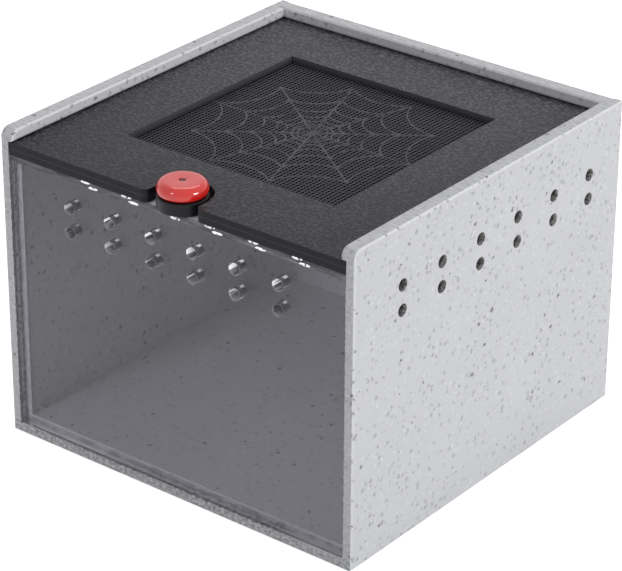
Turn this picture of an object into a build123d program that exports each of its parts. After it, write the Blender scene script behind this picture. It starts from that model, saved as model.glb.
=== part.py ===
from build123d import *
import math
import os

os.makedirs("parts", exist_ok=True)

# The enclosure is glued up from acrylic sheet, with a sliding mesh lid in grooves near the top.
# X is across the front, -Y is the front, +Z is up. The origin is the middle of the underside.

# Outer box: five sheets, let into each other by rebates in the side panels
width = 130.0
depth = 130.0
height = 100.0
sheet = 5.0
rebate = 2.0
edge_chamfer = 0.5
front_corner_radius = 3.0

# Lip left above the lid groove, which is open at the front
lip_height = 3.5
lip_round = 1.0

# Front window, and the line of cured glue that holds it in its rebates
window_thickness = 4.0
window_bevel = 1.4
window_drop = 0.1
glue_thickness = 0.2

# Round vents in two rows, as many to a row as fit between the margins
vent_diameter = 4.0
vent_below_groove = 10.2
vent_row_pitch = 7.8
front_vent_pitch = 15.4
front_vent_margin = 18.0
side_vent_pitch = 18.35
side_vent_margin = 12.0

# Lid: two layers glued together, with running clearance in the grooves
lid_layer = 2.0
lid_gap_below = 0.2
lid_gap_above = 0.3
lid_gap_edge = 0.3
lid_setback = 0.2

# Window cut in the lid, by its margins to the lid's edges
mesh_margin_side = 23.2
mesh_margin_front = 25.2
mesh_margin_back = 24.3

# Mesh sheet, let into a rebate in the top of the lower layer
mesh_thickness = 0.5
mesh_land = 4.0
mesh_gap = 0.15
net_pitch = 5.9
net_bar = 0.7
smallest_gap = 1.0

# Spider web left solid in the mesh: straight spokes, and rings of arcs that sag inwards
web_line = 1.2
web_spokes = 10
web_radius = 35.6
web_rings = 7
web_ring_ratio = 0.725
web_sag = 0.18

# Lock: a red cap on a black disc, standing in a notch in the lid's front edge
lock_diameter = 15.0
lock_overhang = 2.0
lock_gap_below = 0.2
disc_height = 3.8
disc_chamfer = 0.3
cap_height = 4.5
cap_rim_round = 2.1
cap_foot_chamfer = 0.8
dimple_diameter = 1.6
dimple_depth = 0.5
notch_gap = 1.5
notch_corner_radius = 2.0

# Planes and places that follow from the sizes above
front = -depth / 2
back = depth / 2
inner_x = width / 2 - sheet
rebate_x = inner_x + rebate
inner_back = back - sheet
lid_thickness = 2 * lid_layer
groove_height = lid_gap_below + lid_thickness + lid_gap_above
lip_bottom = height - lip_height
groove_floor = lip_bottom - groove_height

window_rear = front + window_thickness
window_seat_y = window_rear + glue_thickness
window_step = sheet - rebate
window_foot = window_step + glue_thickness
window_top = groove_floor - window_drop
window_half_width = rebate_x - glue_thickness
vent_heights = [groove_floor - vent_below_groove - row * vent_row_pitch for row in (0, 1)]

lid_bottom = groove_floor + lid_gap_below
lid_joint = lid_bottom + lid_layer
lid_half_width = rebate_x - lid_gap_edge
lid_front = front + lid_setback
lid_back = inner_back + rebate - lid_gap_edge

mesh_x = lid_half_width - mesh_margin_side
mesh_front = lid_front + mesh_margin_front
mesh_back = lid_back - mesh_margin_back
mesh_centre_y = (mesh_front + mesh_back) / 2
mesh_bottom = lid_joint - mesh_thickness

lock_radius = lock_diameter / 2
lock_y = front - lock_overhang + lock_radius
lock_foot = window_top + lock_gap_below
disc_top = lock_foot + disc_height


def block(x0, x1, y0, y1, z0, z1):
    # A box between two opposite corners.
    corner = (Align.MIN, Align.MIN, Align.MIN)
    return Pos(x0, y0, z0) * Box(x1 - x0, y1 - y0, z1 - z0, align=corner)


def along_x(profile, x0, x1):
    # A solid with the given (y, z) outline, from x0 to x1.
    corners = [(x0, y, z) for y, z in profile]
    face = make_face(Polyline(*corners, close=True))
    return extrude(face, amount=x1 - x0, dir=(1, 0, 0))


def vent_row(low, high, pitch, margin):
    # Centres of one row of vents, centred between two inner walls.
    count = int((high - low - 2 * margin) / pitch) + 1
    middle = (low + high) / 2
    return [middle + (index - (count - 1) / 2) * pitch for index in range(count)]


def groove_section():
    # The lid groove's section, with the rounding of the lip above it. X points into the sheet.
    bend = lip_round * (1 - math.sqrt(0.5))
    slot_width = lip_round + rebate
    slot = Pos(-lip_round, groove_floor) * Rectangle(slot_width, groove_height, align=(Align.MIN, Align.MIN))
    cove = make_face(
        [
            Line((-lip_round, lip_bottom), (lip_round, lip_bottom)),
            ThreePointArc(
                (lip_round, lip_bottom),
                (bend, lip_bottom + bend),
                (0, lip_bottom + lip_round),
            ),
            Line((0, lip_bottom + lip_round), (-lip_round, lip_bottom + lip_round)),
            Line((-lip_round, lip_bottom + lip_round), (-lip_round, lip_bottom)),
        ]
    )
    return slot + cove


def side_panel():
    # The right side panel: a slab with chamfered edges, rebated for its neighbours and grooved.
    slab = along_x([(front, 0), (back, 0), (back, height), (front, height)], inner_x, width / 2)
    top_front = slab.edges().filter_by(Axis.X).group_by(Axis.Z)[-1].sort_by(Axis.Y)[0]
    panel = fillet(top_front, front_corner_radius)
    panel = chamfer(panel.faces().sort_by(Axis.X)[-1].edges(), edge_chamfer)
    inner_top = panel.faces().sort_by(Axis.X)[0].edges().filter_by(Axis.Y).sort_by(Axis.Z)[-1]
    panel = chamfer(inner_top, edge_chamfer)
    panel -= block(inner_x, rebate_x, front, back, 0, sheet)
    panel -= block(inner_x, rebate_x, front, window_seat_y, 0, groove_floor)
    panel -= block(inner_x, rebate_x, inner_back, back, 0, height)
    run = Plane(origin=(inner_x, inner_back, 0), x_dir=(1, 0, 0), z_dir=(0, -1, 0))
    return panel - extrude(run * groove_section(), amount=inner_back - front)


def side_vents():
    # Drills for the right panel, centred between the front sheet and the panel's rear edge.
    drill = Rot(0, 90, 0) * Cylinder(vent_diameter / 2, 3 * sheet)
    columns = vent_row(front + sheet, back, side_vent_pitch, side_vent_margin)
    return [Pos(width / 2, y, z) * drill for y in columns for z in vent_heights]


def back_panel():
    # Full height, between the side panels' rebates, with the lid groove across its front.
    panel = block(-rebate_x, rebate_x, inner_back, back, 0, height)
    panel = chamfer(panel.edges().filter_by(Axis.X).group_by(Axis.Z)[-1], edge_chamfer)
    run = Plane(origin=(-rebate_x, inner_back, 0), x_dir=(0, 1, 0), z_dir=(1, 0, 0))
    return panel - extrude(run * groove_section(), amount=2 * rebate_x)


def base_panel():
    # The floor, with a step along its front that takes the window's foot.
    outline = [
        (front, 0),
        (inner_back, 0),
        (inner_back, sheet),
        (window_seat_y, sheet),
        (window_seat_y, window_step),
        (front, window_step),
    ]
    return along_x(outline, -rebate_x, rebate_x)


def front_window():
    # The clear sheet, bevelled along its top front edge and drilled with two rows of vents.
    outline = [
        (front, window_foot),
        (window_rear, window_foot),
        (window_rear, window_top),
        (front + window_bevel, window_top),
        (front, window_top - window_bevel),
    ]
    window = along_x(outline, -window_half_width, window_half_width)
    drill = Rot(90, 0, 0) * Cylinder(vent_diameter / 2, 3 * window_thickness)
    columns = vent_row(-inner_x, inner_x, front_vent_pitch, front_vent_margin)
    for x in columns:
        for z in vent_heights:
            window -= Pos(x, front, z) * drill
    return window


def side_glue_line():
    # Glue beside the window's edge and behind it, in the right rebate.
    top = window_top - window_bevel
    beside = block(window_half_width, rebate_x, front, window_seat_y, window_step, top)
    behind = block(inner_x, window_half_width, window_rear, window_seat_y, sheet, top)
    return beside + behind


def bottom_glue_line():
    # Glue under the window's foot and behind it, on the base's step.
    outline = [
        (front, window_step),
        (window_seat_y, window_step),
        (window_seat_y, sheet),
        (window_rear, sheet),
        (window_rear, window_foot),
        (front, window_foot),
    ]
    return along_x(outline, -window_half_width, window_half_width)


def lid_outline():
    # The lid from above: a rectangle with a U notch, its mouth corners rounded.
    length = lid_back - lid_front
    outline = Pos(0, lid_front + length / 2) * Rectangle(2 * lid_half_width, length)
    notch_radius = lock_radius + notch_gap
    reach = lock_y - front + notch_radius
    mouth = Pos(0, lock_y) * Rectangle(2 * notch_radius, reach, align=(Align.CENTER, Align.MAX))
    outline -= mouth + Pos(0, lock_y) * Circle(notch_radius)
    front_corners = outline.vertices().group_by(Axis.Y)[0]
    mouth_corners = [v for v in front_corners if abs(v.X) < notch_radius + 0.01]
    return fillet(mouth_corners, notch_corner_radius)


def mesh_field(extra):
    # A rectangle the size of the lid's window, made larger by the same amount on every side.
    length = mesh_back - mesh_front + 2 * extra
    return Pos(0, mesh_centre_y) * Rectangle(2 * (mesh_x + extra), length)


def lid_top_plate():
    outline = lid_outline() - mesh_field(0)
    return Pos(0, 0, lid_joint) * extrude(outline, amount=lid_layer)


def lid_bottom_plate():
    plate = Pos(0, 0, lid_bottom) * extrude(lid_outline() - mesh_field(0), amount=lid_layer)
    return plate - Pos(0, 0, mesh_bottom) * extrude(mesh_field(mesh_land), amount=mesh_thickness)


def web():
    # The spider web, drawn as strokes about the window's centre.
    step = 360 / web_spokes
    half_step = math.radians(step / 2)
    strokes = []
    for index in range(web_spokes):
        reach = web_radius
        if math.isclose(math.sin(math.radians(index * step)), 0, abs_tol=1e-6):
            reach = mesh_x
        bar = Rectangle(reach, web_line, align=(Align.MIN, Align.CENTER))
        strokes.append(Rot(0, 0, index * step) * bar)
    for ring in range(web_rings):
        radius = web_radius * web_ring_ratio ** ring
        chord = 2 * radius * math.sin(half_step)
        middle = radius * math.cos(half_step) - web_sag * chord
        start = Vector(radius, 0)
        through = Vector(middle, 0).rotate(Axis.Z, step / 2)
        end = Vector(radius, 0).rotate(Axis.Z, step)
        stroke = trace(ThreePointArc(start, through, end), web_line)
        strokes += [Rot(0, 0, index * step) * stroke for index in range(web_spokes)]
    return Sketch() + strokes


def net_gaps():
    # Square gaps of the net, cut short where a line of the web crosses them.
    across = int(2 * mesh_x / net_pitch)
    along = int((mesh_back - mesh_front) / net_pitch)
    gap = Rectangle(net_pitch - net_bar, net_pitch - net_bar)
    squares = Sketch() + GridLocations(net_pitch, net_pitch, across, along) * gap
    return [piece for piece in (squares - web()).faces() if piece.area > smallest_gap]


def lid_mesh():
    # One flat sheet, with every gap as a hole of the same face.
    rim = mesh_field(mesh_land - mesh_gap).faces()[0].outer_wire()
    gaps = net_gaps()
    print("gaps in the net", len(gaps))
    holes = [(Pos(0, mesh_centre_y) * gap).outer_wire() for gap in gaps]
    net = Face(rim, holes)
    return Pos(0, 0, mesh_bottom) * extrude(net, amount=mesh_thickness)


def lock_disc():
    base = (Align.CENTER, Align.CENTER, Align.MIN)
    disc = Cylinder(lock_radius, disc_height, align=base)
    return Pos(0, lock_y, lock_foot) * chamfer(disc.edges().filter_by(GeomType.CIRCLE), disc_chamfer)


def lock_cap():
    # A round button with a well rounded top rim, and a small pointed dimple in the middle of its top.
    base = (Align.CENTER, Align.CENTER, Align.MIN)
    cap = Cylinder(lock_radius, cap_height, align=base)
    cap = fillet(cap.edges().filter_by(GeomType.CIRCLE).sort_by(Axis.Z)[-1], cap_rim_round)
    foot = cap.edges().filter_by(GeomType.CIRCLE).sort_by(Axis.Z)[0]
    cap = chamfer(foot, cap_foot_chamfer)
    dimple = Cone(0, dimple_diameter / 2, dimple_depth, align=base)
    cap -= Pos(0, 0, cap_height - dimple_depth) * dimple
    return Pos(0, lock_y, disc_top) * cap


def build_pieces():
    left = mirror(side_panel(), about=Plane.YZ)
    right = side_panel()
    for drill in side_vents():
        right -= drill
    return {
        "base_panel": base_panel(),
        "left_side_panel": left,
        "right_side_panel": right,
        "back_panel": back_panel(),
        "front_window": front_window(),
        "left_glue_line": mirror(side_glue_line(), about=Plane.YZ),
        "right_glue_line": side_glue_line(),
        "bottom_glue_line": bottom_glue_line(),
        "lid_top_plate": lid_top_plate(),
        "lid_bottom_plate": lid_bottom_plate(),
        "lid_mesh": lid_mesh(),
        "lock_disc": lock_disc(),
        "lock_cap": lock_cap(),
    }


for name, piece in build_pieces().items():
    export_step(piece, f"parts/{name}.step")
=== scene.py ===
import math
import bpy
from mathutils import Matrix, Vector


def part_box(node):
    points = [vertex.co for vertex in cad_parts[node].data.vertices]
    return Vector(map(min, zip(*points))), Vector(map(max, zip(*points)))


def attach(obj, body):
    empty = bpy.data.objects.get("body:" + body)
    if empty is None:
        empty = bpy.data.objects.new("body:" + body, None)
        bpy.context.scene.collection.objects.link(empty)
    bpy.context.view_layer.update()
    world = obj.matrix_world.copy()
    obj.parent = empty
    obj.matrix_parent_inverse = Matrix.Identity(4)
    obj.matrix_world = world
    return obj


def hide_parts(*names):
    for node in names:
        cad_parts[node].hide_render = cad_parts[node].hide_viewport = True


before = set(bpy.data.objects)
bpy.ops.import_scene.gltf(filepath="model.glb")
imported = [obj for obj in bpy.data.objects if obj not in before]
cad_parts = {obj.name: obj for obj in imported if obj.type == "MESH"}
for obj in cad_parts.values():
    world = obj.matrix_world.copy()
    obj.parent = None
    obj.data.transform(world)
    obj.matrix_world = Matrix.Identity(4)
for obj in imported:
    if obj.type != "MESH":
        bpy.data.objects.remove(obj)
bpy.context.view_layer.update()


# Side, back and base panels. Light grey acrylic sheet with dark and pale flecks cast into it,
# sawn to size, chamfered along its edges and cemented together. The saw marked the top edges,
# and some cement is smeared along the top of the base's front edge. The chamfers and the lips'
# inner faces are painted paler as painted highlights, and the flecks on the inside faces are
# painted fainter as a painted haze of reflected light.
MM = 0.001
X, Y, Z = 0, 1, 2


def new_material(name, colour, roughness):
    material = bpy.data.materials.new(name)
    material.use_nodes = True
    shader = material.node_tree.nodes["Principled BSDF"]
    shader.inputs["Base Color"].default_value = (*colour, 1)
    shader.inputs["Roughness"].default_value = roughness
    return material, material.node_tree, shader


def add_node(tree, kind, **settings):
    node = tree.nodes.new(kind)
    for key, value in settings.items():
        setattr(node, key, value)
    return node


def maths(tree, operation, first, second=None, clamp=False):
    node = add_node(tree, "ShaderNodeMath", operation=operation, use_clamp=clamp)
    for socket, value in zip(node.inputs, (first, second)):
        if value is None:
            continue
        if isinstance(value, (int, float)):
            socket.default_value = value
        else:
            tree.links.new(value, socket)
    return node.outputs[0]


def times(tree, first, *others):
    # Masks multiplied together, so that only what lies in all of them is left.
    for other in others:
        first = maths(tree, "MULTIPLY", first, other)
    return first


def opposite(tree, mask):
    return maths(tree, "SUBTRACT", 1.0, mask)


def mix_colour(tree, mask, base, over):
    node = add_node(tree, "ShaderNodeMix", data_type="RGBA")
    for socket, value in ((node.inputs[0], mask), (node.inputs[6], base), (node.inputs[7], over)):
        if isinstance(value, tuple):
            socket.default_value = (*value, 1)
        elif isinstance(value, (int, float)):
            socket.default_value = value
        else:
            tree.links.new(value, socket)
    return node.outputs[2]


FLECK_WOBBLE = 1.8 * MM
WOBBLE_SCALE = 1300.0
CROWDING_SCALE = 85.0
MOST_THINNED = 1.35
THINNING_SWING = 1.4
SHARE_OF_RANKS = 0.55
SMALLEST_SIZE = 0.35
SIZE_SWING = 0.9


def fleck_group():
    # Cells that hold one ragged fleck each, or none. Some areas are more crowded than others.
    group = bpy.data.node_groups.new("flecks", "ShaderNodeTree")
    for name, value in (("Scale", 200.0), ("Radius", 0.2), ("Share", 0.5), ("Softness", 0.05)):
        socket = group.interface.new_socket(name, in_out="INPUT", socket_type="NodeSocketFloat")
        socket.default_value = value
    group.interface.new_socket("Mask", in_out="OUTPUT", socket_type="NodeSocketFloat")
    given = add_node(group, "NodeGroupInput")
    result = add_node(group, "NodeGroupOutput")
    place = add_node(group, "ShaderNodeTexCoord")
    wobble = add_node(group, "ShaderNodeTexNoise")
    wobble.inputs["Scale"].default_value = WOBBLE_SCALE
    wobble.inputs["Detail"].default_value = 2.0
    group.links.new(place.outputs["Object"], wobble.inputs["Vector"])
    centred = add_node(group, "ShaderNodeVectorMath", operation="SUBTRACT")
    centred.inputs[1].default_value = (0.5, 0.5, 0.5)
    group.links.new(wobble.outputs["Color"], centred.inputs[0])
    uneven = add_node(group, "ShaderNodeVectorMath", operation="SCALE")
    uneven.inputs["Scale"].default_value = FLECK_WOBBLE
    group.links.new(centred.outputs[0], uneven.inputs[0])
    moved = add_node(group, "ShaderNodeVectorMath", operation="ADD")
    group.links.new(place.outputs["Object"], moved.inputs[0])
    group.links.new(uneven.outputs[0], moved.inputs[1])
    cells = add_node(group, "ShaderNodeTexVoronoi", feature="F1")
    group.links.new(moved.outputs[0], cells.inputs["Vector"])
    group.links.new(given.outputs["Scale"], cells.inputs["Scale"])
    draws = add_node(group, "ShaderNodeSeparateColor")
    group.links.new(cells.outputs["Color"], draws.inputs[0])
    crowding = add_node(group, "ShaderNodeTexNoise")
    crowding.inputs["Scale"].default_value = CROWDING_SCALE
    crowding.inputs["Detail"].default_value = 2.0
    group.links.new(place.outputs["Object"], crowding.inputs["Vector"])
    crowded = times(group, crowding.outputs[0], THINNING_SWING)
    thinned = maths(group, "SUBTRACT", MOST_THINNED, crowded)
    rank = times(group, draws.outputs[0], thinned)
    share = times(group, given.outputs["Share"], SHARE_OF_RANKS)
    present = maths(group, "LESS_THAN", rank, share)
    spread = maths(group, "ADD", times(group, draws.outputs[1], SIZE_SWING), SMALLEST_SIZE)
    radius = times(group, given.outputs["Radius"], spread)
    inside = maths(group, "SUBTRACT", radius, cells.outputs["Distance"])
    soft = maths(group, "DIVIDE", inside, given.outputs["Softness"], clamp=True)
    group.links.new(times(group, soft, present), result.inputs["Mask"])
    return group


flecks = fleck_group()


def fleck_mask(tree, scale, radius, share, softness):
    node = add_node(tree, "ShaderNodeGroup", node_tree=flecks)
    for name, value in (("Scale", scale), ("Radius", radius), ("Share", share), ("Softness", softness)):
        node.inputs[name].default_value = value
    return node.outputs["Mask"]


def noise(tree, scale, detail, stretch=(1, 1, 1)):
    place = add_node(tree, "ShaderNodeTexCoord")
    mapping = add_node(tree, "ShaderNodeMapping")
    mapping.inputs["Scale"].default_value = stretch
    texture = add_node(tree, "ShaderNodeTexNoise")
    texture.inputs["Scale"].default_value = scale
    texture.inputs["Detail"].default_value = detail
    tree.links.new(place.outputs["Object"], mapping.inputs["Vector"])
    tree.links.new(mapping.outputs[0], texture.inputs["Vector"])
    return texture.outputs[0]


def add_bump(tree, shader, height, strength, distance):
    bump = add_node(tree, "ShaderNodeBump")
    bump.inputs["Strength"].default_value = strength
    bump.inputs["Distance"].default_value = distance
    tree.links.new(height, bump.inputs["Height"])
    tree.links.new(bump.outputs[0], shader.inputs["Normal"])


def spread_value(tree, value, low, high):
    # Takes 0 to 1 over to the low and high values.
    node = add_node(tree, "ShaderNodeMapRange")
    node.inputs["To Min"].default_value = low
    node.inputs["To Max"].default_value = high
    tree.links.new(value, node.inputs["Value"])
    return node.outputs[0]


def stronger(tree, value, low, high):
    # Takes the low and high values over to 0 and 1, which gives a pattern firmer edges.
    node = add_node(tree, "ShaderNodeMapRange")
    node.inputs["From Min"].default_value = low
    node.inputs["From Max"].default_value = high
    tree.links.new(value, node.inputs["Value"])
    return node.outputs[0]


def position(tree):
    # The point's own x, y and z on the object.
    place = add_node(tree, "ShaderNodeTexCoord")
    parts = add_node(tree, "ShaderNodeSeparateXYZ")
    tree.links.new(place.outputs["Object"], parts.inputs[0])
    return parts.outputs


def above(tree, axis, start, reach):
    # A mask that rises from 0 to 1 over the reach, from the start along one axis.
    rise = maths(tree, "SUBTRACT", position(tree)[axis], start)
    return maths(tree, "DIVIDE", rise, reach, clamp=True)


def facing(tree, axis):
    # How far the face looks along one axis, from -1 to 1.
    faces = add_node(tree, "ShaderNodeNewGeometry")
    parts = add_node(tree, "ShaderNodeSeparateXYZ")
    tree.links.new(faces.outputs["True Normal"], parts.inputs[0])
    return parts.outputs[axis]


SMEAR_LEFT = -52.0 * MM
SMEAR_RIGHT = 38.0 * MM
SMEAR_FADE = 12.0 * MM


def right_end(tree):
    # A mask of the front's right end: no cement is smeared there on the base, and the glue is painted
    # paler there as painted light.
    return above(tree, X, SMEAR_RIGHT, SMEAR_FADE)


def mid_width(tree):
    # A mask that fades out toward both ends of the front.
    return times(tree, above(tree, X, SMEAR_LEFT, SMEAR_FADE), opposite(tree, right_end(tree)))


def dress(name, material):
    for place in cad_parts[name].material_slots:
        place.material = material


LIP_START = 97.0 * MM
INNER_FACES = 60.1 * MM
BEHIND_FRONT = -64.5 * MM
FRONT_EDGE = -64.9 * MM
OUTER_FACES = 64.9 * MM
STEP_HEIGHT = 3.0 * MM
SMEAR_START = 2.3 * MM
SMEAR_PULL = 1.3
SCUFFS_ABOVE_STEP = 0.35
LIP_LIGHTENING = 0.8
FLECKS_INDOORS = 0.75
LOOKS_UP = 0.8
FLAT_ON = 0.9
SOME_SLANT = 0.3
DARKER_SHEET = (0.62, 0.625, 0.655)
PALER_SHEET = (0.69, 0.695, 0.725)
PALE_FLECK = (0.76, 0.765, 0.795)
SMALL_FLECK = (0.43, 0.435, 0.47)
LARGE_FLECK = (0.13, 0.135, 0.16)
SAW_MARK = (0.50, 0.505, 0.53)
SCUFF = (0.34, 0.345, 0.37)
SMEAR_DARK = (0.12, 0.12, 0.14)
SMEAR_PALE = (0.36, 0.365, 0.39)
LIT_CHAMFER = (0.86, 0.865, 0.88)
LIT_LIP = (0.88, 0.885, 0.90)

grey, tree, shader = new_material("flecked grey acrylic", (0.66, 0.67, 0.69), 0.3)
small_flecks = fleck_mask(tree, scale=530.0, radius=0.41, share=0.68, softness=0.27)
large_flecks = fleck_mask(tree, scale=345.0, radius=0.25, share=0.32, softness=0.11)
pale_flecks = fleck_mask(tree, scale=680.0, radius=0.40, share=0.72, softness=0.26)
body = mix_colour(tree, noise(tree, scale=30.0, detail=3.0), DARKER_SHEET, PALER_SHEET)
body = mix_colour(tree, pale_flecks, body, PALE_FLECK)
here = position(tree)
sideways = maths(tree, "ABSOLUTE", here[X])
high_up = above(tree, Z, LIP_START, 0.1 * MM)

top_edge = times(tree, maths(tree, "GREATER_THAN", facing(tree, Z), LOOKS_UP), high_up)
saw_marks = stronger(tree, noise(tree, scale=1500.0, detail=3.0, stretch=(0.15, 1, 1)), 0.42, 0.60)
body = mix_colour(tree, times(tree, top_edge, saw_marks), body, SAW_MARK)

front_edge = opposite(tree, above(tree, Y, FRONT_EDGE, 0.05 * MM))
low_down = opposite(tree, above(tree, Z, STEP_HEIGHT, 1.0 * MM))
rough_saw = stronger(tree, noise(tree, scale=1000.0, detail=6.0, stretch=(0.8, 1, 1.1)), 0.40, 0.60)
scuffs = times(tree, rough_saw, spread_value(tree, low_down, SCUFFS_ABOVE_STEP, 1.0))
body = mix_colour(tree, times(tree, front_edge, scuffs), body, SCUFF)
pulled_up = times(tree, above(tree, Z, SMEAR_START, 1.0 * MM), SMEAR_PULL)
ragged = maths(tree, "ADD", rough_saw, pulled_up)
smeared = times(tree, stronger(tree, ragged, 0.95, 1.45), mid_width(tree), front_edge, low_down)
blots = stronger(tree, noise(tree, scale=1100.0, detail=5.0), 0.44, 0.62)
body = mix_colour(tree, smeared, body, mix_colour(tree, blots, SMEAR_DARK, SMEAR_PALE))

# Painted highlights: the slanting chamfer faces, and the inner faces of the lips above the lid, are
# painted paler than the sheet.
across = maths(tree, "ABSOLUTE", facing(tree, X))
at_corner = maths(tree, "GREATER_THAN", across, SOME_SLANT)
slanting = times(tree, at_corner, maths(tree, "LESS_THAN", across, FLAT_ON))
body = mix_colour(tree, slanting, body, LIT_CHAMFER)
lip_inside = times(tree, high_up, maths(tree, "LESS_THAN", sideways, OUTER_FACES))
lip_inside = times(tree, lip_inside, maths(tree, "GREATER_THAN", across, FLAT_ON))
body = mix_colour(tree, times(tree, lip_inside, LIP_LIGHTENING), body, LIT_LIP)

# Inside the box the flecks are painted fainter: a painted haze standing in for the light the window
# reflects.
indoors = maths(tree, "LESS_THAN", sideways, INNER_FACES)
indoors = times(tree, indoors, maths(tree, "LESS_THAN", here[Y], INNER_FACES))
indoors = times(tree, indoors, above(tree, Y, BEHIND_FRONT, 1.0 * MM))
faded = spread_value(tree, indoors, 1.0, FLECKS_INDOORS)
body = mix_colour(tree, times(tree, small_flecks, faded), body, SMALL_FLECK)
body = mix_colour(tree, times(tree, large_flecks, faded), body, LARGE_FLECK)
tree.links.new(body, shader.inputs["Base Color"])
sheen = spread_value(tree, noise(tree, scale=60.0, detail=4.0), 0.24, 0.36)
tree.links.new(sheen, shader.inputs["Roughness"])
add_bump(tree, shader, noise(tree, scale=900.0, detail=3.0), strength=0.05, distance=0.05 * MM)
for name in ("base_panel", "left_side_panel", "right_side_panel", "back_panel"):
    dress(name, grey)


# Vents through the right side panel. Laser-cut holes in two rows of six. Their walls are dark
# and mottled, painted darker deeper inside as painted shade, and are made here as thin tubes that
# stand in the holes.
def use_only(piece):
    bpy.ops.object.select_all(action="DESELECT")
    piece.select_set(True)
    bpy.context.view_layer.objects.active = piece


def settle(piece, name):
    use_only(piece)
    bpy.ops.object.transform_apply(location=True, rotation=True, scale=True)
    piece.name = name
    piece.data.name = name


def join_as(name, pieces):
    bpy.ops.object.select_all(action="DESELECT")
    for piece in pieces:
        piece.select_set(True)
    bpy.context.view_layer.objects.active = pieces[0]
    bpy.ops.object.join()
    settle(bpy.context.active_object, name)
    return bpy.context.active_object


def start_edit():
    bpy.ops.object.mode_set(mode="EDIT")
    bpy.ops.mesh.select_all(action="SELECT")


def finish_edit():
    # Every face is turned outward before edit mode is left.
    bpy.ops.mesh.select_all(action="SELECT")
    bpy.ops.mesh.normals_make_consistent(inside=False)
    bpy.ops.object.mode_set(mode="OBJECT")


def add_wall(piece, thickness):
    wall = piece.modifiers.new("wall", "SOLIDIFY")
    wall.thickness = thickness
    wall.offset = -1
    bpy.ops.object.modifier_apply(modifier="wall")


def give(piece, material, body, slot, *stood_for):
    piece.data.materials.clear()
    piece.data.materials.append(material)
    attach(piece, body)
    if stood_for:
        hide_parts(*stood_for)


VENT_RADIUS = 2.0 * MM
VENT_CLEARANCE = 0.01 * MM
VENT_WALL = 0.06 * MM
VENT_ROWS = [74.0 * MM, 81.8 * MM]
VENT_COLUMN_COUNT = 6


def vent_lining(name, start, through, turn, places):
    # One thin open tube from the start point through the sheet, copied to every place.
    bpy.ops.object.select_all(action="DESELECT")
    tube_radius = VENT_RADIUS - VENT_CLEARANCE
    bpy.ops.mesh.primitive_circle_add(vertices=32, radius=tube_radius, location=start, rotation=turn)
    tube = bpy.context.active_object
    start_edit()
    bpy.ops.mesh.extrude_edges_move(TRANSFORM_OT_translate={"value": through})
    finish_edit()
    bpy.ops.object.shade_smooth()
    add_wall(tube, VENT_WALL)
    settle(tube, "vent_lining")
    linings = []
    for place in places:
        lining = tube.copy()
        lining.data = tube.data.copy()
        bpy.context.scene.collection.objects.link(lining)
        lining.location = place
        linings.append(lining)
    bpy.data.objects.remove(tube)
    return join_as(name, linings)


SIDE_VENT_FIRST = -43.375 * MM
SIDE_VENT_PITCH = 18.35 * MM
SIDE_SHEET = 5.0 * MM
SHADE_DEPTH = 3.6 * MM
SHADE_FADE = 3.4 * MM
DARK_MOTTLE = (0.02, 0.019, 0.018)
SHADED_INSIDE = (0.012, 0.011, 0.011)
LIT_MOUTH = (0.40, 0.385, 0.375)

side_columns = [SIDE_VENT_FIRST + column * SIDE_VENT_PITCH for column in range(VENT_COLUMN_COUNT)]
side_places = [(0, y, z) for y in side_columns for z in VENT_ROWS]
side_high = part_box("right_side_panel")[1]
side_linings = vent_lining(
    "side_vent_walls",
    start=(side_high.x - SIDE_SHEET, 0, 0),
    through=(SIDE_SHEET - 2 * VENT_CLEARANCE, 0, 0),
    turn=(0, math.pi / 2, 0),
    places=side_places,
)
shaded_vent_wall, tree, shader = new_material("shaded vent wall", (0.12, 0.12, 0.12), 0.5)
# Painted shade: the walls are painted darker deeper in the hole and lighter toward the mouth.
lit_near_mouth = above(tree, X, side_high.x - SHADE_DEPTH, SHADE_FADE)
dark_mottling = stronger(tree, noise(tree, scale=1300.0, detail=5.0), 0.36, 0.64)
body = mix_colour(tree, lit_near_mouth, SHADED_INSIDE, LIT_MOUTH)
tree.links.new(mix_colour(tree, dark_mottling, DARK_MOTTLE, body), shader.inputs["Base Color"])
give(side_linings, shaded_vent_wall, "box", "grey_acrylic")


# Front window. Clear cast acrylic, laser cut and glossy, standing on the base's step with a bevel
# along its top front edge. Its faint grey tint is painted shade: with the dimmer light that it lets
# through, it darkens the inside of the box. The cut walls of its twelve vents are cloudy, with
# painted highlights in bright glowing streaks and pale rims, a faint painted glow, and painted shade
# on the left columns. Their light is painted again as glowing glints along the bevel, and the
# window's top face is painted pale as painted light.
clear, tree, shader = new_material("clear acrylic", (0.79, 0.78, 0.82), 0.02)
shader.inputs["Transmission Weight"].default_value = 1.0
shader.inputs["IOR"].default_value = 1.12
shader.inputs["Coat Weight"].default_value = 0.5
shader.inputs["Coat Roughness"].default_value = 0.02
sheen = spread_value(tree, noise(tree, scale=80.0, detail=3.0), 0.01, 0.04)
tree.links.new(sheen, shader.inputs["Roughness"])
# Shadow rays pass through the glass dimmed by this tint: painted shade inside the box.
dimmed_see_through = add_node(tree, "ShaderNodeBsdfTransparent")
dimmed_see_through.inputs["Color"].default_value = (0.66, 0.65, 0.69, 1)
paths = add_node(tree, "ShaderNodeLightPath")
either = add_node(tree, "ShaderNodeMixShader")
tree.links.new(paths.outputs["Is Shadow Ray"], either.inputs[0])
tree.links.new(shader.outputs[0], either.inputs[1])
tree.links.new(dimmed_see_through.outputs[0], either.inputs[2])
tree.links.new(either.outputs[0], tree.nodes["Material Output"].inputs["Surface"])
dress("front_window", clear)

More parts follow.
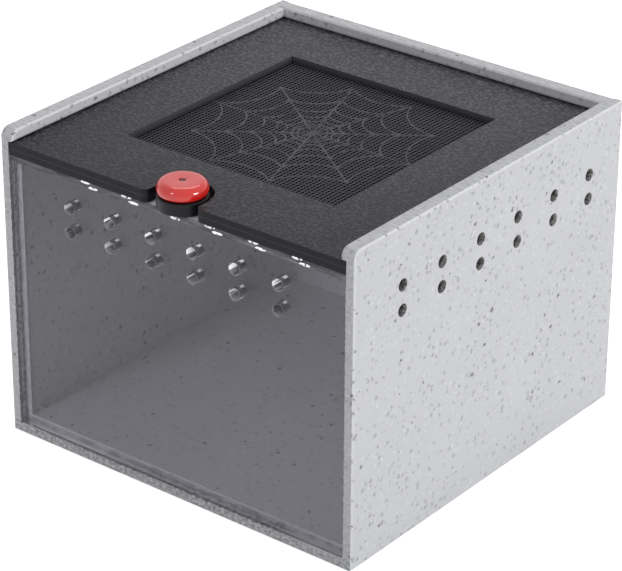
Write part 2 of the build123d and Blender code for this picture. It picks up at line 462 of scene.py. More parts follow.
WINDOW_LOW, WINDOW_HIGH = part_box("front_window")
window_width = WINDOW_HIGH.x - WINDOW_LOW.x
window_thickness = WINDOW_HIGH.y - WINDOW_LOW.y
row_pitch = VENT_ROWS[1] - VENT_ROWS[0]
row_middle = (VENT_ROWS[0] + VENT_ROWS[1]) / 2
COLUMN_PITCH = 15.4 * MM
MIDDLE_COLUMN = (VENT_COLUMN_COUNT - 1) / 2
VENT_COLUMNS = [(column - MIDDLE_COLUMN) * COLUMN_PITCH for column in range(VENT_COLUMN_COUNT)]
vent_walls = vent_lining(
    "window_vent_walls",
    start=(0, WINDOW_LOW.y, 0),
    through=(0, window_thickness, 0),
    turn=(math.pi / 2, 0, 0),
    places=[(x, 0, z) for x in VENT_COLUMNS for z in VENT_ROWS],
)


def across_pitch(tree, along, first, pitch):
    # Runs from 0 to 1 over each vent's own pitch, with 0.5 at the vent's middle.
    steps = maths(tree, "DIVIDE", maths(tree, "SUBTRACT", along, first - pitch / 2), pitch)
    return maths(tree, "FRACT", steps)


def band(tree, value, rise, fall):
    # 1 between two ramps, each given by where it starts and ends.
    return maths(tree, "SUBTRACT", stronger(tree, value, *rise), stronger(tree, value, *fall))


UNLIT_LEFT = -50.0 * MM
LIT_FADE = 24.0 * MM
RIM_WIDTH = 0.35 * MM
RIM_FADE = 0.15 * MM
RIM_STRENGTH = 0.8
THINNEST_LOOK = 0.60
CUT_DARK = (0.10, 0.10, 0.115)
CUT_CLOUDY = (0.30, 0.305, 0.33)
PAINTED_RIM_LIGHT = (0.55, 0.55, 0.58)
PAINTED_STREAK_LIGHT = (0.92, 0.92, 0.93)
PAINTED_HAZE_GLOW = (0.055, 0.055, 0.060)
PAINTED_STREAK_GLOW = (0.55, 0.55, 0.57)
NO_GLOW = (0, 0, 0)

cut_wall, tree, shader = new_material("cut vent wall", (0.40, 0.41, 0.43), 0.25)
here = position(tree)
height = across_pitch(tree, here[Z], VENT_ROWS[0], row_pitch)
side = across_pitch(tree, here[X], VENT_COLUMNS[0], COLUMN_PITCH)
streaks = noise(tree, scale=1250.0, detail=2.0, stretch=(1, 0.06, 1))
left_half = maths(tree, "LESS_THAN", side, 0.5)
lower_half = opposite(tree, stronger(tree, height, 0.48, 0.54))
upper_row = above(tree, Z, row_middle, 0.1 * MM)
# Painted shade: the columns toward the left get no painted highlights or glow.
lit_columns = above(tree, X, UNLIT_LEFT, LIT_FADE)

# Painted highlights: bright streaks on the left of each wall, surest in the upper row, and one along the
# top at the rear.
sure_streak = times(tree, band(tree, height, rise=(0.475, 0.49), fall=(0.545, 0.56)), upper_row)
near_streaks = maths(tree, "MAXIMUM", stronger(tree, streaks, 0.47, 0.52), sure_streak)
middle_band = band(tree, height, rise=(0.39, 0.41), fall=(0.58, 0.60))
near_streaks = times(tree, near_streaks, left_half, middle_band)
near_streaks = times(tree, near_streaks, spread_value(tree, upper_row, 0.45, 1.0))
rear_half = above(tree, Y, (WINDOW_LOW.y + WINDOW_HIGH.y) / 2, 0.3 * MM)
rear_streak = times(tree, stronger(tree, height, 0.70, 0.72), rear_half)
rear_streak = times(tree, rear_streak, spread_value(tree, upper_row, 0.6, 1.0))
painted_sparkle = times(tree, maths(tree, "MAXIMUM", near_streaks, rear_streak), lit_columns)
# Painted light: a faint glowing haze over the lower half of each wall.
painted_haze = times(tree, lower_half, lit_columns)
painted_haze = times(tree, painted_haze, spread_value(tree, stronger(tree, streaks, 0.42, 0.56), 0.25, 0.8))
# Painted highlights: paler rims at the front and rear of each hole.
front_rim = opposite(tree, above(tree, Y, WINDOW_LOW.y + RIM_WIDTH - RIM_FADE, RIM_FADE))
rear_rim = above(tree, Y, WINDOW_HIGH.y - RIM_WIDTH, RIM_FADE)
painted_rims = times(tree, maths(tree, "ADD", front_rim, rear_rim, clamp=True), RIM_STRENGTH)

body = mix_colour(tree, stronger(tree, streaks, 0.38, 0.50), CUT_DARK, CUT_CLOUDY)
body = mix_colour(tree, maths(tree, "MAXIMUM", painted_rims, painted_haze), body, PAINTED_RIM_LIGHT)
tree.links.new(mix_colour(tree, painted_sparkle, body, PAINTED_STREAK_LIGHT), shader.inputs["Base Color"])
# The streaks and the haze glow, though they are no lamp.
glow = mix_colour(tree, painted_haze, NO_GLOW, PAINTED_HAZE_GLOW)
tree.links.new(mix_colour(tree, painted_sparkle, glow, PAINTED_STREAK_GLOW), shader.inputs["Emission Color"])
shader.inputs["Emission Strength"].default_value = 1.0
solid = maths(tree, "ADD", painted_sparkle, painted_rims, clamp=True)
tree.links.new(spread_value(tree, solid, THINNEST_LOOK, 1.0), shader.inputs["Alpha"])
give(vent_walls, cut_wall, "box", "clear_acrylic")


def thicken(move):
    # Gives the flat piece in hand a thickness along the move.
    start_edit()
    bpy.ops.mesh.extrude_region_move(TRANSFORM_OT_translate={"value": move})
    finish_edit()


BEVEL = 1.4 * MM
GLINT_LENGTH = 3.8 * MM
GLINT_WIDTH = 0.75 * MM
UPPER_GLINT = 5.9 * MM
LOWER_GLINT = 9.2 * MM
UPPER_SHARE = 0.70
LOWER_SHARE = 0.18
GLINT_LIFT = 0.03 * MM
INTO_WINDOW = (0, 0.01 * MM, -0.01 * MM)
GLINT_SPECK = (0.30, 0.30, 0.32)
GLINT = (0.95, 0.95, 0.96)
GLINT_GLOW = (0.70, 0.70, 0.72)

# The glints are painted highlights that glow: the vents' light reflected in the bevel, broken by dark
# specks.
bevel_front = WINDOW_LOW.y - GLINT_LIFT
bevel_foot = WINDOW_HIGH.z - BEVEL + GLINT_LIFT
glints = []
for x in VENT_COLUMNS:
    for shift, share in ((UPPER_GLINT, UPPER_SHARE), (LOWER_GLINT, LOWER_SHARE)):
        bpy.ops.object.select_all(action="DESELECT")
        bpy.ops.mesh.primitive_circle_add(
            vertices=16,
            radius=GLINT_LENGTH / 2,
            fill_type="NGON",
            location=(x + shift, bevel_front + share * BEVEL, bevel_foot + share * BEVEL),
            rotation=(math.pi / 4, 0, 0),
        )
        glint = bpy.context.active_object
        glint.scale = (1, GLINT_WIDTH / GLINT_LENGTH, 1)
        thicken(INTO_WINDOW)
        glints.append(glint)
glints = join_as("window_bevel_glints", glints)
sparkling, tree, shader = new_material("bright bevel glint", GLINT, 0.10)
glint_specks = stronger(tree, noise(tree, scale=1500.0, detail=3.0, stretch=(0.7, 1, 1)), 0.40, 0.48)
tree.links.new(mix_colour(tree, glint_specks, GLINT_SPECK, GLINT), shader.inputs["Base Color"])
tree.links.new(mix_colour(tree, glint_specks, NO_GLOW, GLINT_GLOW), shader.inputs["Emission Color"])
shader.inputs["Emission Strength"].default_value = 1.0
give(glints, sparkling, "box", "clear_acrylic")


def flat_sheet(name, width, depth, place, tilt=0.0):
    bpy.ops.object.select_all(action="DESELECT")
    bpy.ops.mesh.primitive_plane_add(size=1, rotation=(tilt, 0, 0))
    sheet = bpy.context.active_object
    sheet.scale = (width, depth, 1)
    sheet.location = place
    settle(sheet, name)
    return sheet


BEVEL_LIFT = 0.01 * MM
TOP_LIFT = 0.02 * MM
TOP_MARGIN = 0.04 * MM
TOP_COVER = 0.95
BEVEL_DARK = (0.12, 0.12, 0.135)
BEVEL_PALE = (0.44, 0.445, 0.47)
TOP_LIGHT_DULL = (0.72, 0.72, 0.75)
TOP_LIGHT_BRIGHT = (0.90, 0.90, 0.93)

bevel_face = flat_sheet(
    "bevel_face",
    width=window_width,
    depth=BEVEL * math.sqrt(2),
    place=(0, WINDOW_LOW.y + BEVEL / 2 - BEVEL_LIFT, WINDOW_HIGH.z - BEVEL / 2 + BEVEL_LIFT),
    tilt=math.pi / 4,
)
top_face = flat_sheet(
    "top_face",
    width=window_width,
    depth=window_thickness - BEVEL,
    place=(0, (WINDOW_LOW.y + BEVEL + WINDOW_HIGH.y) / 2, WINDOW_HIGH.z + TOP_LIFT),
)
window_edge = join_as("window_top_edge", [bevel_face, top_face])
thicken(INTO_WINDOW)
# The bevel's pale saw marks are partly its own frosting and partly painted light. The top face is
# painted pale: painted light on the window's top edge.
sawn, tree, shader = new_material("sawn bevel", (0.20, 0.20, 0.22), 0.35)
marks = stronger(tree, noise(tree, scale=300.0, detail=5.0, stretch=(0.25, 2, 2)), 0.35, 0.65)
lit_top = above(tree, Z, WINDOW_HIGH.z - TOP_MARGIN, 0.02 * MM)
body = mix_colour(tree, marks, BEVEL_DARK, BEVEL_PALE)
body = mix_colour(tree, lit_top, body, mix_colour(tree, marks, TOP_LIGHT_DULL, TOP_LIGHT_BRIGHT))
tree.links.new(body, shader.inputs["Base Color"])
bevel_cover = spread_value(tree, marks, 0.55, 0.85)
cover = maths(tree, "MAXIMUM", bevel_cover, times(tree, lit_top, TOP_COVER))
tree.links.new(cover, shader.inputs["Alpha"])
give(window_edge, sawn, "box", "clear_acrylic")


# Glue lines round the window. Clear cement that cured unevenly in the rebates, blotched and
# cloudy with pale bubbles beside the window. Under the window's foot it is specked with dark.
# Behind the window, and at the bottom line's right end, it is painted paler: painted light where
# the rebate and the foot shade it.
LINE_FRONT = 1.35 * MM
LINE_BACK = 2.55 * MM
LINE_FADE = 0.15 * MM
FOOT_TOP = 4.1 * MM
LEG_START = 3.8 * MM
LEG_FADE = 1.1 * MM
BEHIND_MARGIN = 0.05 * MM
GLUE_DARK = (0.21, 0.21, 0.235)
GLUE_CLOUDY = (0.72, 0.725, 0.76)
BUBBLE = (0.92, 0.92, 0.94)
BUBBLE_LINE = (0.95, 0.95, 0.97)
FOOT_DARK = (0.30, 0.30, 0.33)
FOOT_PALE = (0.50, 0.505, 0.53)
UNDER_DARK = (0.04, 0.04, 0.05)
UNDER_PALE = (0.60, 0.605, 0.63)
PALE_END_GLUE = (0.86, 0.865, 0.89)
LEG_LIT_DULL = (0.74, 0.745, 0.78)
LEG_LIT_BRIGHT = (0.87, 0.875, 0.90)

glue, tree, shader = new_material("cured glue", (0.30, 0.31, 0.33), 0.35)
bubbles = fleck_mask(tree, scale=1100.0, radius=0.34, share=0.50, softness=0.12)
blotches = noise(tree, scale=1000.0, detail=6.0, stretch=(1.0, 1.6, 0.55))
blotches = stronger(tree, blotches, 0.42, 0.58)
body = mix_colour(tree, blotches, GLUE_DARK, GLUE_CLOUDY)
body = mix_colour(tree, bubbles, body, BUBBLE)
dashes = stronger(tree, noise(tree, scale=700.0, detail=2.0, stretch=(0.2, 0.2, 1)), 0.40, 0.48)
line_start = above(tree, Y, WINDOW_LOW.y + LINE_FRONT, LINE_FADE)
line_end = above(tree, Y, WINDOW_LOW.y + LINE_BACK, LINE_FADE)
bubble_line = times(tree, maths(tree, "SUBTRACT", line_start, line_end), dashes)
body = mix_colour(tree, bubble_line, body, BUBBLE_LINE)
higher = above(tree, Z, LEG_START, LEG_FADE)
specks = stronger(tree, noise(tree, scale=900.0, detail=6.0, stretch=(1, 0.6, 1)), 0.44, 0.58)
patchy = stronger(tree, noise(tree, scale=420.0, detail=6.0), 0.30, 0.42)
under_foot = times(tree, opposite(tree, higher), mid_width(tree), patchy)
body = mix_colour(tree, under_foot, body, mix_colour(tree, specks, UNDER_DARK, UNDER_PALE))
# Painted light: the bottom line's right end is painted paler where the foot shades it.
pale_end = times(tree, opposite(tree, above(tree, Z, FOOT_TOP, 0.3 * MM)), right_end(tree))
body = mix_colour(tree, pale_end, body, PALE_END_GLUE)
runs = stronger(tree, noise(tree, scale=420.0, detail=7.0, stretch=(0.7, 1, 1.4)), 0.44, 0.56)
foot = mix_colour(tree, runs, FOOT_DARK, FOOT_PALE)
# Painted light: the glue behind the window is painted pale where the rebate shades it.
leg = mix_colour(tree, higher, foot, mix_colour(tree, blotches, LEG_LIT_DULL, LEG_LIT_BRIGHT))
behind_window = above(tree, Y, WINDOW_HIGH.y - BEHIND_MARGIN, BEHIND_MARGIN)
tree.links.new(mix_colour(tree, behind_window, body, leg), shader.inputs["Base Color"])
add_bump(tree, shader, blotches, strength=0.4, distance=0.1 * MM)


def film(name, low, high, leg_low, leg_high):
    # Two thin slabs, beside or under the window and behind it, made one piece.
    slabs = []
    for near, far in ((low, high), (leg_low, leg_high)):
        place = ((near[X] + far[X]) / 2, (near[Y] + far[Y]) / 2, near[Z])
        slabs.append(flat_sheet("glue_slab", far[X] - near[X], far[Y] - near[Y], place))
        thicken((0, 0, far[Z] - near[Z]))
    return join_as(name, slabs)


SQUEEZE = 0.03 * MM
left_low, left_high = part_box("left_glue_line")
right_low, right_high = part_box("right_glue_line")
foot_low, foot_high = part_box("bottom_glue_line")
leg_front = WINDOW_HIGH.y + SQUEEZE
left_film = film(
    "left_glue_film",
    low=(left_low.x, left_low.y, left_low.z),
    high=(WINDOW_LOW.x - SQUEEZE, left_high.y, left_high.z),
    leg_low=(WINDOW_LOW.x - SQUEEZE, leg_front, foot_high.z),
    leg_high=(left_high.x, left_high.y, left_high.z),
)
right_film = film(
    "right_glue_film",
    low=(WINDOW_HIGH.x + SQUEEZE, right_low.y, right_low.z),
    high=(right_high.x, right_high.y, right_high.z),
    leg_low=(right_low.x, leg_front, foot_high.z),
    leg_high=(WINDOW_HIGH.x + SQUEEZE, right_high.y, right_high.z),
)
bottom_film = film(
    "bottom_glue_film",
    low=(foot_low.x, foot_low.y, foot_low.z),
    high=(foot_high.x, foot_high.y, WINDOW_LOW.z - SQUEEZE),
    leg_low=(foot_low.x, leg_front, WINDOW_LOW.z - SQUEEZE),
    leg_high=(foot_high.x, foot_high.y, foot_high.z),
)
give(left_film, glue, "box", "cured_glue", "left_glue_line")
give(right_film, glue, "box", "cured_glue", "right_glue_line")
give(bottom_film, glue, "box", "cured_glue", "bottom_glue_line")


# Lid plates. Two black acrylic layers glued face to face round the mesh, with plain cut edges
# and a fine leathery grain on their faces. They are painted paler toward the rear, a painted sheen
# of reflected light, and the walls of the mesh opening carry painted shade toward their foot.
# A thin paler line marks the joint between them.
LID_FRONT = -65.0 * MM
LID_REACH = 125.0 * MM
OPENING_HALF = 38.6 * MM
WALL_SHADE_BELOW = 0.4 * MM
WALL_SHADE_REACH = 1.6 * MM
JOINT_BELOW = 0.15 * MM
JOINT_ABOVE = 0.10 * MM
JOINT_FADE = 0.05 * MM
JOINT_STRENGTH = 0.6
FRONT_DARK = (0.008, 0.008, 0.010)
FRONT_WORN = (0.020, 0.0195, 0.024)
REAR_BODY = (0.058, 0.056, 0.066)
FRONT_GRAIN = (0.094, 0.091, 0.107)
REAR_GRAIN = (0.172, 0.168, 0.192)
SHADED_WALL_FOOT = (0.020, 0.0195, 0.024)
LIT_WALL_TOP = (0.085, 0.083, 0.096)
JOINT_LINE = (0.075, 0.075, 0.085)

MESH_LOW, MESH_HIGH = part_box("lid_mesh")
mesh_centre = (MESH_LOW + MESH_HIGH) / 2
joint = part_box("lid_top_plate")[0].z
lid_black, tree, shader = new_material("grained black acrylic", (0.030, 0.030, 0.033), 0.5)
shader.inputs["Specular IOR Level"].default_value = 0.16
# Painted sheen: the plates are painted paler toward the rear, where they reflect more light.
sheen_rearward = above(tree, Y, LID_FRONT, LID_REACH)
front_body = mix_colour(tree, noise(tree, scale=60.0, detail=5.0), FRONT_DARK, FRONT_WORN)
body = mix_colour(tree, sheen_rearward, front_body, REAR_BODY)

on_face = maths(tree, "GREATER_THAN", facing(tree, Z), 0.5)
here = position(tree)
in_opening = maths(tree, "LESS_THAN", maths(tree, "ABSOLUTE", here[X]), OPENING_HALF)
from_middle = maths(tree, "ABSOLUTE", maths(tree, "SUBTRACT", here[Y], mesh_centre.y))
in_opening = times(tree, in_opening, maths(tree, "LESS_THAN", from_middle, OPENING_HALF))
in_opening = times(tree, in_opening, opposite(tree, on_face))
# Painted shade: the walls of the mesh opening are painted darker toward their foot and lighter toward
# the top.
upper_wall = above(tree, Z, joint - WALL_SHADE_BELOW, WALL_SHADE_REACH)
body = mix_colour(tree, in_opening, body, mix_colour(tree, upper_wall, SHADED_WALL_FOOT, LIT_WALL_TOP))
joint_start = above(tree, Z, joint - JOINT_BELOW, JOINT_FADE)
joint_end = above(tree, Z, joint + JOINT_ABOVE, JOINT_FADE)
at_joint = maths(tree, "SUBTRACT", joint_start, joint_end)
body = mix_colour(tree, times(tree, at_joint, JOINT_STRENGTH), body, JOINT_LINE)

grain = stronger(tree, noise(tree, scale=1250.0, detail=4.0, stretch=(0.7, 1.0, 1.0)), 0.45, 0.59)
grained = times(tree, on_face, grain)
grain_colour = mix_colour(tree, sheen_rearward, FRONT_GRAIN, REAR_GRAIN)
tree.links.new(mix_colour(tree, grained, body, grain_colour), shader.inputs["Base Color"])
tree.links.new(spread_value(tree, grained, 0.44, 0.66), shader.inputs["Roughness"])
add_bump(tree, shader, grained, strength=0.9, distance=0.22 * MM)
for name in ("lid_top_plate", "lid_bottom_plate"):
    dress(name, lid_black)


# Lid mesh. A thin black sheet punched with small square holes, with a spider web left unpunched
# in it, lying in the lower layer's rebate. The web is made as strands laid through the sheet,
# a hair proud of it.
HOLES_ACROSS = 58
MESH_LAND = 3.85 * MM
BAR = 0.52 * MM
CROSS_BAR = 0.34 * MM
NEAR = 0.01 * MM
mesh_side = MESH_HIGH.x - MESH_LOW.x - 2 * MESH_LAND
sheet_thickness = MESH_HIGH.z - MESH_LOW.z

bpy.ops.object.select_all(action="DESELECT")
bpy.ops.mesh.primitive_grid_add(
    x_subdivisions=HOLES_ACROSS,
    y_subdivisions=HOLES_ACROSS,
    size=mesh_side,
    location=(mesh_centre.x, mesh_centre.y, MESH_HIGH.z),
)
punched = bpy.context.active_object
bpy.ops.object.mode_set(mode="EDIT")
bpy.ops.mesh.select_mode(type="FACE")
bpy.ops.mesh.select_all(action="SELECT")
stretch = BAR / CROSS_BAR
bpy.ops.transform.resize(value=(1, stretch, 1), center_override=punched.location)
bpy.ops.mesh.inset(thickness=BAR / 2, depth=0, use_individual=True)
bpy.ops.mesh.delete(type="FACE")
bpy.ops.mesh.select_all(action="SELECT")
bpy.ops.transform.resize(value=(1, 1 / stretch, 1), center_override=punched.location)
bpy.ops.mesh.select_mode(type="EDGE")
bpy.ops.mesh.select_all(action="DESELECT")
bpy.ops.object.mode_set(mode="OBJECT")
for edge in punched.data.edges:
    ends = [punched.data.vertices[index].co for index in edge.vertices]
    on_x = all(abs(abs(end.x) - mesh_side / 2) < NEAR for end in ends)
    on_y = all(abs(abs(end.y) - mesh_side / 2) < NEAR for end in ends)
    edge.select = on_x or on_y
bpy.ops.object.mode_set(mode="EDIT")
bpy.ops.mesh.extrude_edges_move()
rim_growth = (mesh_side + 2 * MESH_LAND) / mesh_side
bpy.ops.transform.resize(value=(rim_growth, rim_growth, 1), center_override=punched.location)
bpy.ops.object.mode_set(mode="OBJECT")
settle(punched, "mesh_sheet")
add_wall(punched, sheet_thickness)

SPOKES = 10
RINGS = 7
ARC_STEPS = 10
WEB_RADIUS = 35.6 * MM
RING_RATIO = 0.725
SAG = 0.18
WEB_LINE = 0.52 * MM
WEB_RISE = 0.03 * MM
SPOKE_RISE = 0.045 * MM
HUB_RISE = 0.06 * MM
HUB_RADIUS = WEB_LINE / 2 / math.tan(math.pi / SPOKES)
spoke_step = 2 * math.pi / SPOKES
web_middle = mesh_centre.to_2d()
strands = []


def strand_start(start, turn, rise):
    # One short edge across the strand, at its start.
    bpy.ops.object.select_all(action="DESELECT")
    place = (start.x, start.y, MESH_HIGH.z + rise)
    bpy.ops.mesh.primitive_plane_add(size=WEB_LINE, location=place, rotation=(0, 0, turn))
    strand = bpy.context.active_object
    strand.scale = (1, 0, 1)
    bpy.ops.object.transform_apply(location=True, rotation=True, scale=True)
    start_edit()
    bpy.ops.mesh.remove_doubles(threshold=NEAR)
    bpy.ops.mesh.select_all(action="SELECT")
    return strand


# Each ring is an arc that sags inward between two spokes, spun round the web's middle.
for ring in range(RINGS):
    radius = WEB_RADIUS * RING_RATIO ** ring
    half = spoke_step / 2
    middle = radius * math.cos(half) - SAG * 2 * radius * math.sin(half)
    hub = (radius ** 2 - middle ** 2) / (2 * (radius * math.cos(half) - middle))
    swing = 2 * math.asin(radius * math.sin(half) / (hub - middle))
    hub_point = web_middle + Vector((hub * math.cos(half), hub * math.sin(half)))
    start = web_middle + Vector((radius, 0))
    away = start - hub_point
    strand = strand_start(start, math.atan2(away.y, away.x), WEB_RISE)
    bpy.ops.mesh.spin(steps=ARC_STEPS, angle=swing, center=(*hub_point, 0), axis=(0, 0, 1))
    bpy.ops.mesh.select_all(action="SELECT")
    bpy.ops.mesh.spin(
        steps=SPOKES - 1,
        angle=(SPOKES - 1) * spoke_step,
        center=(*web_middle, 0),
        axis=(0, 0, 1),
        dupli=True,
    )
    bpy.ops.object.mode_set(mode="OBJECT")
    strands.append(strand)

# Two of the spokes run on to the edge of the punched field.
for spoke in range(SPOKES):
    reach = mesh_side / 2 if spoke % (SPOKES // 2) == 0 else WEB_RADIUS
    turn = spoke * spoke_step
    inner = Vector((HUB_RADIUS * math.cos(turn), HUB_RADIUS * math.sin(turn)))
    strand = strand_start(web_middle + inner, turn + math.pi / 2, SPOKE_RISE)
    run = inner * (reach / HUB_RADIUS - 1)
    bpy.ops.mesh.extrude_edges_move(TRANSFORM_OT_translate={"value": (run.x, run.y, 0)})
    bpy.ops.object.mode_set(mode="OBJECT")
    strands.append(strand)

bpy.ops.object.select_all(action="DESELECT")
bpy.ops.mesh.primitive_circle_add(
    vertices=2 * SPOKES,
    radius=HUB_RADIUS + WEB_LINE / 2,
    fill_type="NGON",
    location=(mesh_centre.x, mesh_centre.y, MESH_HIGH.z + HUB_RISE),
)
strands.append(bpy.context.active_object)
web = join_as("mesh_web", strands)
start_edit()
finish_edit()
for face in web.data.polygons:
    if face.normal.z < 0:
        face.flip()
add_wall(web, sheet_thickness + WEB_RISE)

SHEET_DARK = (0.042, 0.041, 0.050)
SHEET_PALE = (0.072, 0.070, 0.084)
SHADED_HOLE_WALL = (0.003, 0.003, 0.004)
WEB_DARK = (0.048, 0.047, 0.056)
WEB_RUBBED = (0.112, 0.110, 0.125)

mesh_black, tree, shader = new_material("punched black sheet", (0.030, 0.030, 0.035), 0.5)
shader.inputs["Specular IOR Level"].default_value = 0.12
# Painted shade: every face but the top, the hole walls mostly, is painted near black.
on_top = maths(tree, "GREATER_THAN", facing(tree, Z), 0.7)
body = mix_colour(tree, noise(tree, scale=70.0, detail=3.0), SHEET_DARK, SHEET_PALE)
tree.links.new(mix_colour(tree, on_top, SHADED_HOLE_WALL, body), shader.inputs["Base Color"])
add_bump(tree, shader, noise(tree, scale=1500.0, detail=3.0), strength=0.15, distance=0.05 * MM)
web_black, tree, shader = new_material("unpunched web", (0.10, 0.10, 0.11), 0.45)
shader.inputs["Specular IOR Level"].default_value = 0.12
rubbed = stronger(tree, noise(tree, scale=260.0, detail=3.0), 0.35, 0.65)
tree.links.new(mix_colour(tree, rubbed, WEB_DARK, WEB_RUBBED), shader.inputs["Base Color"])
add_bump(tree, shader, noise(tree, scale=1500.0, detail=3.0), strength=0.15, distance=0.05 * MM)
give(punched, mesh_black, "lid", "black_mesh", "lid_mesh")
give(web, web_black, "lid", "black_mesh")


# Lock disc. A turned black plastic disc that stands on the window's top edge, in the lid's
# notch, and carries the cap. Its satin finish is a little uneven.
DISC_DARK = (0.006, 0.006, 0.010)
DISC_RUBBED = (0.016, 0.016, 0.022)

disc_black, tree, shader = new_material("satin black disc", (0.020, 0.020, 0.023), 0.36)
shader.inputs["Specular IOR Level"].default_value = 0.22
rubbed = noise(tree, scale=420.0, detail=4.0, stretch=(1, 1, 0.2))
tree.links.new(mix_colour(tree, rubbed, DISC_DARK, DISC_RUBBED), shader.inputs["Base Color"])
tree.links.new(spread_value(tree, rubbed, 0.30, 0.46), shader.inputs["Roughness"])
add_bump(tree, shader, rubbed, strength=0.12, distance=0.05 * MM)
dress("lock_disc", disc_black)


# Lock cap. A glossy red moulded button: its rims rounded, a small dimple in the middle of its top
# where it was moulded, painted dark as painted shade in its hollow, and a faint ring round the dimple.
CAP_SEGMENTS = 96
FOOT_IN = 1.9 * MM
FOOT_UP = 1.8 * MM
FOOT_STEPS = 8
RIM_IN = 2.3 * MM
RIM_STEPS = 14
DIMPLE_RADIUS = 1.06 * MM
RED_DEEP = (0.80, 0.014, 0.008)
RED_BRIGHT = (0.90, 0.022, 0.014)
SHADED_DIMPLE = (0.16, 0.004, 0.003)

CAP_LOW, CAP_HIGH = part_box("lock_cap")
cap_centre = (CAP_LOW + CAP_HIGH) / 2
cap_radius = (CAP_HIGH.x - CAP_LOW.x) / 2
cap_height = CAP_HIGH.z - CAP_LOW.z
rim_down = cap_height - FOOT_UP

# The profile lists each ring's radius and height: rounded foot, rounded rim, flat top, the faint
# ring and the dimple.
profile = []
for step in range(FOOT_STEPS + 1):
    turn = math.pi / 2 * step / FOOT_STEPS
    profile.append((cap_radius - FOOT_IN * (1 - math.sin(turn)), FOOT_UP * (1 - math.cos(turn))))
for step in range(1, RIM_STEPS + 1):
    turn = math.pi / 2 * step / RIM_STEPS
    rise = cap_height - rim_down * (1 - math.sin(turn))
    profile.append((cap_radius - RIM_IN * (1 - math.cos(turn)), rise))
profile += [
    (4.0 * MM, cap_height),
    (2.3 * MM, cap_height),
    (1.75 * MM, cap_height - 0.03 * MM),
    (1.30 * MM, cap_height - 0.03 * MM),
    (1.12 * MM, cap_height - 0.08 * MM),
    (1.00 * MM, cap_height - 0.30 * MM),
    (0.88 * MM, cap_height - 0.62 * MM),
    (0.55 * MM, cap_height - 0.74 * MM),
    (0.25 * MM, cap_height - 0.77 * MM),
]
bpy.ops.object.select_all(action="DESELECT")
bpy.ops.mesh.primitive_circle_add(
    vertices=CAP_SEGMENTS,
    radius=profile[0][0],
    fill_type="NGON",
    location=(cap_centre.x, cap_centre.y, CAP_LOW.z),
)
cap = bpy.context.active_object
bpy.ops.object.mode_set(mode="EDIT")
bpy.ops.mesh.select_mode(type="EDGE")
bpy.ops.mesh.select_all(action="SELECT")
last = profile[0]
for radius, rise in profile[1:]:
    bpy.ops.mesh.extrude_edges_move(TRANSFORM_OT_translate={"value": (0, 0, rise - last[1])})
    growth = radius / last[0]
    bpy.ops.transform.resize(value=(growth, growth, 1), center_override=(cap_centre.x, cap_centre.y, 0))
    last = (radius, rise)
bpy.ops.mesh.edge_face_add()
finish_edit()
settle(cap, "cap_button")
bpy.ops.object.shade_smooth()

gloss_red, tree, shader = new_material("glossy red plastic", (0.88, 0.022, 0.013), 0.12)
shader.inputs["Coat Weight"].default_value = 0.5
shader.inputs["Coat Roughness"].default_value = 0.06
here = position(tree)
off_x = maths(tree, "SUBTRACT", here[X], cap_centre.x)
off_y = maths(tree, "SUBTRACT", here[Y], cap_centre.y)
off_axis = maths(tree, "SQRT", maths(tree, "ADD", times(tree, off_x, off_x), times(tree, off_y, off_y)))
in_dimple = maths(tree, "LESS_THAN", off_axis, DIMPLE_RADIUS)
body = mix_colour(tree, noise(tree, scale=120.0, detail=3.0), RED_DEEP, RED_BRIGHT)
tree.links.new(mix_colour(tree, in_dimple, body, SHADED_DIMPLE), shader.inputs["Base Color"])
sheen = spread_value(tree, noise(tree, scale=500.0, detail=3.0), 0.07, 0.14)
tree.links.new(sheen, shader.inputs["Roughness"])
give(cap, gloss_red, "lock", "red_cap", "lock_cap")


# Stage. A white paper floor in a white room, lit by three soft lamps, with the camera where the
# photo was taken. Floor and room look white to the camera, in gloss and through the window, and
# light the box only at a plain level.
FLOOR_SIZE = 12.0
FLOOR_DROP = 0.05 * MM
FLOOR_GLOW = 0.74
SKY_LIGHT = 0.30
LAMPS_AIM = (0, 0, 0.05)


def seen_straight(tree):
    # 1 where a ray from the camera arrives, also by gloss or glass, and 0 after a matt surface.
    paths = add_node(tree, "ShaderNodeLightPath")
    seen = maths(tree, "ADD", paths.outputs["Is Camera Ray"], paths.outputs["Is Glossy Ray"], clamp=True)
    seen = maths(tree, "ADD", seen, paths.outputs["Is Transmission Ray"], clamp=True)
    return times(tree, seen, maths(tree, "LESS_THAN", paths.outputs["Diffuse Depth"], 0.5))


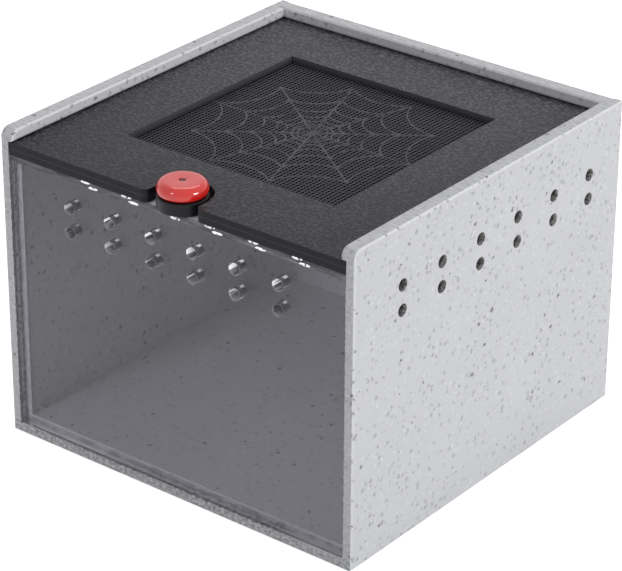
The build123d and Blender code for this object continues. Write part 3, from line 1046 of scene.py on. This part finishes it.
bpy.ops.object.select_all(action="DESELECT")
bpy.ops.mesh.primitive_plane_add(size=FLOOR_SIZE, location=(0, 0, -FLOOR_DROP))
floor = bpy.context.active_object
floor.name = "paper_floor"
paper, tree, shader = new_material("white paper", (0.88, 0.88, 0.88), 0.9)
shader.inputs["Specular IOR Level"].default_value = 0.1
glow = add_node(tree, "ShaderNodeEmission")
both = add_node(tree, "ShaderNodeAddShader")
tree.links.new(times(tree, seen_straight(tree), FLOOR_GLOW), glow.inputs["Strength"])
tree.links.new(shader.outputs[0], both.inputs[0])
tree.links.new(glow.outputs[0], both.inputs[1])
tree.links.new(both.outputs[0], tree.nodes["Material Output"].inputs["Surface"])
floor.data.materials.append(paper)

world = bpy.data.worlds.new("studio")
bpy.context.scene.world = world
world.use_nodes = True
tree = world.node_tree
sky = tree.nodes["Background"]
sky.inputs["Color"].default_value = (1, 1, 1, 1)
sky_level = maths(tree, "ADD", times(tree, seen_straight(tree), 1 - SKY_LIGHT), SKY_LIGHT)
tree.links.new(sky_level, sky.inputs["Strength"])


def soft_lamp(name, place, width, height, power):
    data = bpy.data.lights.new(name, "AREA")
    data.shape = "RECTANGLE"
    data.size = width
    data.size_y = height
    data.energy = power
    lamp = bpy.data.objects.new(name, data)
    bpy.context.scene.collection.objects.link(lamp)
    lamp.location = place
    aim = Vector(LAMPS_AIM) - Vector(place)
    lamp.rotation_euler = aim.to_track_quat("-Z", "Y").to_euler()


soft_lamp("right_softbox", (1.25, 0.12, 0.40), width=0.44, height=0.26, power=6.4)
soft_lamp("top_softbox", (-0.25, 0.45, 1.15), width=0.9, height=0.7, power=4.0)
soft_lamp("front_softbox", (-0.17, -1.12, 0.62), width=0.23, height=0.13, power=2.2)

CAMERA_PLACE = (0.479297, -0.609791, 0.438940)
CAMERA_TURN = (62.990970, -0.270268, 38.371093)
camera_data = bpy.data.cameras.new("camera")
camera_data.lens = 167.032
camera_data.sensor_width = 36.0
camera_data.clip_start = 0.05
camera = bpy.data.objects.new("camera", camera_data)
bpy.context.scene.collection.objects.link(camera)
camera.location = CAMERA_PLACE
camera.rotation_euler = [math.radians(turn) for turn in CAMERA_TURN]
bpy.context.scene.camera = camera
bpy.context.scene.view_settings.view_transform = "Standard"
